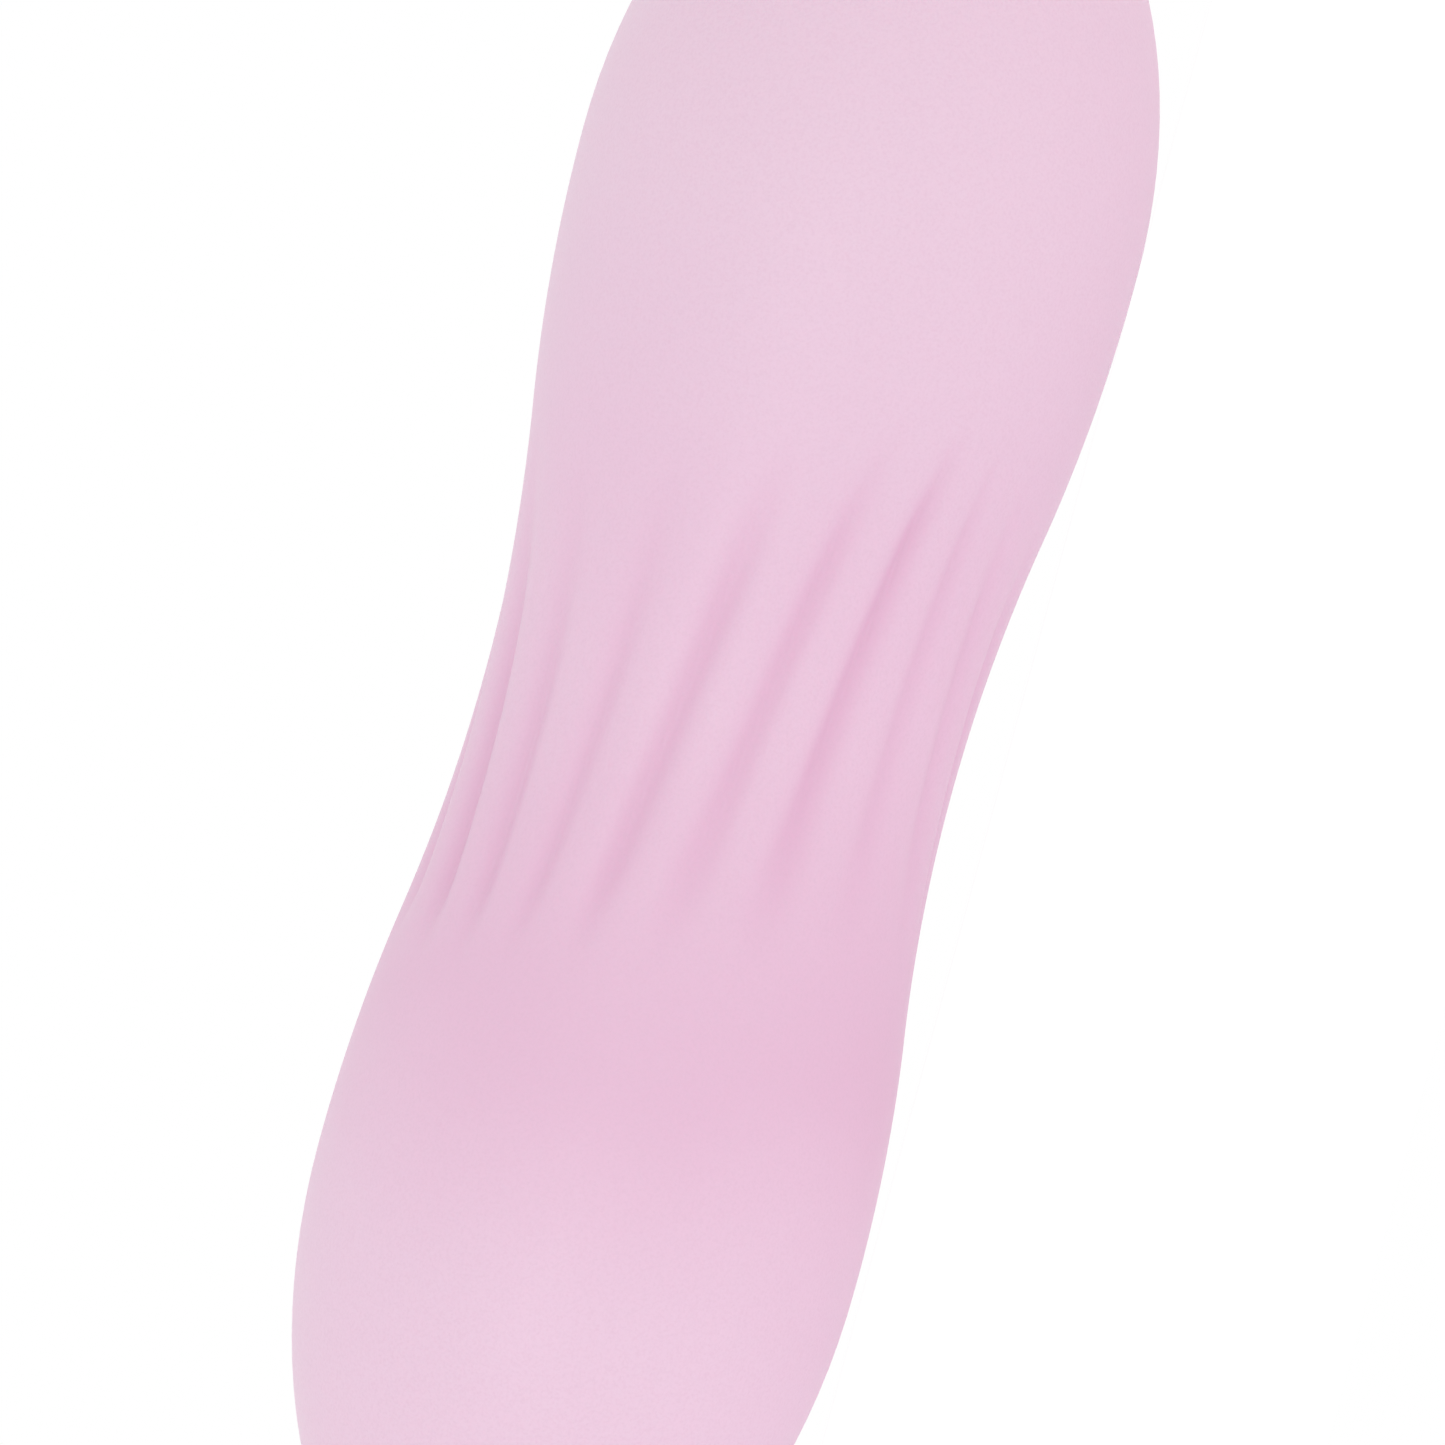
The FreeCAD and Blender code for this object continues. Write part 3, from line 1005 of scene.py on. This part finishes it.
@dataclass
class FoamSheet:
    """One sheet of the laminated core, cut to the inside of the skin."""

    layer: Layer
    form: BuoyForm
    inset: float = 4.2 * MILLIMETRE
    middle_thickness: float = 20.0 * MILLIMETRE
    edge_easing: float = 0.6 * MILLIMETRE
    cap_rows: int = 22
    row_step: float = 2.5 * MILLIMETRE
    arc_columns: int = 24
    flat_columns: int = 14
    easing_columns: int = 4

    @property
    def node(self) -> str:
        """The CAD node that this sheet stands for."""
        return f"{self.layer.name.lower()}_foam_sheet"

    @property
    def name(self) -> str:
        """Name of the finished piece."""
        return f"cut_{self.node}"

    def _levels(self) -> tuple[float, float]:
        """Finds the levels that the sheet lies between.

        Returns:
            Its lowest and highest level, measured from the long axis.
        """
        half = self.middle_thickness / 2
        if self.layer is Layer.MIDDLE:
            return -half, half
        if self.layer is Layer.LOWER:
            return -self.form.upper_lobe, -half
        return half, self.form.upper_lobe

    def _heights(self) -> np.ndarray:
        """Heights of the rows, from one end of the sheet to the other.

        Returns:
            The heights, whose first and last row close the sheet.
        """
        form, half = self.form, self.middle_thickness / 2
        if self.layer is Layer.MIDDLE:
            return form.stations(self.inset, self.cap_rows, self.row_step, self.row_step)
        ends = []
        for crest, cap, lobe in ((form.lower_crest, form.lower_cap, form.lower_lobe),
                                 (form.upper_crest, form.upper_cap, form.upper_lobe)):
            reach = math.acos(half / (lobe - self.inset))
            turns = np.linspace(0, reach, self.cap_rows + 1)[1:]
            ends.append(crest + (cap - self.inset) * np.sin(turns))
        count = round((form.lower_crest + form.upper_crest) / self.row_step)
        middle = np.linspace(-form.lower_crest, form.upper_crest, count)
        return np.concatenate([-ends[0][::-1], middle, ends[1]])

    def _section(self, radius: float) -> np.ndarray:
        """Outlines the sheet across the long axis.

        Args:
            radius: Half width of the core there.

        Returns:
            Y and Z of each point, with Z from the long axis, in one closed round.
        """
        low, high = self._levels()
        side = self.form.half_side
        start = math.asin(max(-1.0, min(1.0, low / max(radius, SMALLEST))))
        end = math.asin(max(-1.0, min(1.0, high / max(radius, SMALLEST))))
        turns = np.linspace(start, end, self.arc_columns + 1)
        nose = np.stack([side + radius * np.cos(turns), radius * np.sin(turns)], axis=1)
        top = np.linspace(nose[-1], (-nose[-1][0], nose[-1][1]), self.flat_columns + 1)
        far = nose[::-1] * (-1, 1)
        bottom = np.linspace(far[-1], nose[0], self.flat_columns + 1)
        runs = [nose, top, far, bottom]
        return np.concatenate([self._eased(runs[i], runs[(i + 1) % 4]) for i in range(4)])

    def _eased(self, run: np.ndarray, following: np.ndarray) -> np.ndarray:
        """Shortens a run at both its ends and rounds the corner to the next one.

        Args:
            run: Points of one side of the section.
            following: Points of the next side.

        Returns:
            The shortened run and the rounded corner, without the next run's first point.
        """
        kept = self._trimmed(run)
        after = self._trimmed(following)
        corner = run[-1]
        shares = np.linspace(0, 1, self.easing_columns + 1)[1:-1, None]
        bend = (1 - shares) ** 2 * kept[-1] + 2 * shares * (1 - shares) * corner + shares**2 * after[0]
        return np.concatenate([kept, bend])

    def _trimmed(self, run: np.ndarray) -> np.ndarray:
        """Spaces a run's points anew between its eased ends.

        Args:
            run: Points of one side of the section.

        Returns:
            As many points, with the easing left out at each end.
        """
        steps = np.concatenate([[0.0], np.cumsum(np.linalg.norm(np.diff(run, axis=0), axis=1))])
        cut = min(self.edge_easing, steps[-1] / 3)
        wanted = np.linspace(cut, steps[-1] - cut, len(run)) if steps[-1] > 0 else steps
        return np.stack([np.interp(wanted, steps, run[:, axis]) for axis in (0, 1)], axis=1)

    def build(self) -> bpy.types.Object:
        """Builds the sheet as one closed mesh.

        Returns:
            The sheet.
        """
        heights = self._heights()
        radii = self.form.radius(heights, self.inset)
        sections = np.stack([self._section(radius) for radius in radii])
        rows, columns = sections.shape[:2]
        places = np.zeros((rows, columns, 3))
        places[..., 0] = (self.form.waist_x + heights)[:, None]
        places[..., 1] = sections[..., 0]
        places[..., 2] = self.form.axis_z + sections[..., 1]
        numbers = np.arange(rows * columns).reshape(rows, columns)
        wrapped = np.concatenate([numbers, numbers[:, :1]], axis=1)
        return closed_mesh(self.name, places.reshape(-1, 3), grid_faces(wrapped), {})

    def dress(self, sheet: bpy.types.Object, finish: bpy.types.Material) -> None:
        """Puts the sheet in the place of its CAD node.

        Args:
            sheet: The sheet from build.
            finish: The foam's material.
        """
        sheet.data.materials.append(finish)
        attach(sheet, "root")
        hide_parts(self.node)


@dataclass(frozen=True)
class SoftLamp:
    """A large soft lamp that looks at the buoy."""

    name: str
    place: tuple[float, float, float]
    size: float
    power: float

    def set_up(self, target: Vector) -> None:
        """Hangs the lamp and aims it.

        Args:
            target: The point that the lamp looks at.
        """
        light = bpy.data.lights.new(self.name, "AREA")
        light.shape = "DISK"
        light.size = self.size
        light.energy = self.power
        lamp = bpy.data.objects.new(self.name, light)
        lamp.location = self.place
        lamp.rotation_euler = (target - Vector(self.place)).to_track_quat("-Z", "Y").to_euler()
        lamp.visible_camera = False
        bpy.context.scene.collection.objects.link(lamp)


@dataclass(frozen=True)
class Studio:
    """A glowing white table, soft light from all round and a long lens on the narrow face."""

    form: BuoyForm
    floor_size: float = 12.0
    ambient: float = 0.86
    background: Colour = srgb(255, 255, 255)
    floor_colour: Colour = srgb(162, 162, 162)
    floor_glow: float = 0.68
    lean: float = math.radians(15.09)
    lens_distance: float = 1.5
    lens_level: float = 0.4 * MILLIMETRE
    framed: float = 177.3 * MILLIMETRE
    aim_along: float = 1.84 * MILLIMETRE
    aim_across: float = 0.32 * MILLIMETRE
    sensor: float = 36.0
    nearest_seen: float = 10 * MILLIMETRE
    lamps: tuple[SoftLamp, ...] = (
        SoftLamp("front_softbox", (-0.4, -1.6, 0.25), 0.9, 2.8),
        SoftLamp("overhead_softbox", (-0.45, 0.1, 1.5), 1.8, 1.2),
    )

    def set_up(self) -> None:
        """Builds the floor, the light and the camera."""
        self._floor()
        self._world()
        target = Vector((self.form.waist_x, 0, self.form.axis_z))
        for lamp in self.lamps:
            lamp.set_up(target)
        self._camera()

    def _floor(self) -> None:
        """Lays the floor, a glowing table top that keeps the buoy's shadow."""
        reach = self.floor_size / 2
        mesh = bpy.data.meshes.new("studio_floor")
        corners = [(-reach, -reach, 0), (reach, -reach, 0), (reach, reach, 0), (-reach, reach, 0)]
        mesh.from_pydata(corners, [], [(0, 1, 2, 3)])
        floor = bpy.data.objects.new("studio_floor", mesh)
        bpy.context.scene.collection.objects.link(floor)
        mesh.materials.append(self._opal())

    def _opal(self) -> bpy.types.Material:
        """Builds the table's opal sheet, which glows evenly and still takes the buoy's shadow.

        Returns:
            The material.
        """
        material, bench = blank_material("studio_opal_sheet")
        material.cycles.emission_sampling = "NONE"
        sheet = bench.add("ShaderNodeBsdfDiffuse", {"Color": self.floor_colour})
        glow = bench.add("ShaderNodeEmission", {"Strength": self.floor_glow})
        both = bench.add("ShaderNodeAddShader", {0: sheet.outputs["BSDF"], 1: glow.outputs["Emission"]})
        bench.surface(both.outputs["Shader"])
        return material

    @staticmethod
    def _seen(bench: NodeBench) -> Socket:
        """Tells rays that the camera sees, straight or by gloss, from rays that only light.

        Args:
            bench: The tree being built.

        Returns:
            A socket that is 1 for those rays and 0 for the others.
        """
        path = bench.add("ShaderNodeLightPath")
        seen = bench.math("ADD", path.outputs["Is Camera Ray"], path.outputs["Is Glossy Ray"])
        total = bench.math("ADD", seen, path.outputs["Is Transmission Ray"])
        return bench.math("MINIMUM", total, 1.0)

    def _world(self) -> None:
        """Sets the even light from all round, on a white background."""
        world = bpy.data.worlds.new("studio")
        world.use_nodes = True
        bpy.context.scene.world = world
        world.node_tree.nodes.clear()
        bench = NodeBench(world.node_tree)
        strength = bench.remap(self._seen(bench), 0.0, 1.0, self.ambient, 1.0, smooth=False)
        light = bench.add("ShaderNodeBackground", {"Color": self.background, "Strength": strength})
        bench.surface(light.outputs["Background"], "ShaderNodeOutputWorld")

    def _camera(self) -> None:
        """Sets the camera low over the floor, turned so that the buoy stands up and leans right."""
        data = bpy.data.cameras.new("camera")
        data.sensor_width = self.sensor
        aim = Vector((self.form.waist_x + self.aim_along, -self.form.half_side,
                      self.form.axis_z - self.aim_across))
        place = Vector((aim.x, aim.y - self.lens_distance, self.lens_level))
        data.lens = self.sensor * (aim - place).length / self.framed
        data.clip_start = self.nearest_seen
        ahead = (aim - place).normalized()
        right = Vector((math.sin(self.lean), 0, -math.cos(self.lean)))
        right = (right - ahead * right.dot(ahead)).normalized()
        up = right.cross(ahead)
        camera = bpy.data.objects.new("camera", data)
        turn = Matrix((right, up, -ahead)).transposed().to_4x4()
        camera.matrix_world = Matrix.Translation(place) @ turn
        bpy.context.scene.collection.objects.link(camera)
        bpy.context.scene.camera = camera


def main() -> None:
    """Builds every piece in order and sets up the studio."""
    logging.basicConfig(level=logging.INFO, format="%(message)s")
    form = BuoyForm.from_bounds(*CAD_BOUNDS)
    foam = CellFoamFinish().material()
    for layer in Layer:
        sheet = FoamSheet(layer, form)
        piece = sheet.build()
        sheet.dress(piece, foam)
        LOG.info("%s: %d faces", sheet.name, len(piece.data.polygons))
    soft_skin = SoftSkinFinish().material(form)
    press = FlutePress()
    for half in Half:
        skin = SkinHalf(half, form)
        piece = skin.build()
        skin.dress(piece, press, soft_skin)
        LOG.info("%s: %d faces", skin.name, len(piece.data.polygons))
    Studio(form).set_up()
    bpy.context.scene.view_settings.view_transform = "Standard"


if __name__ == "__main__":
    main()
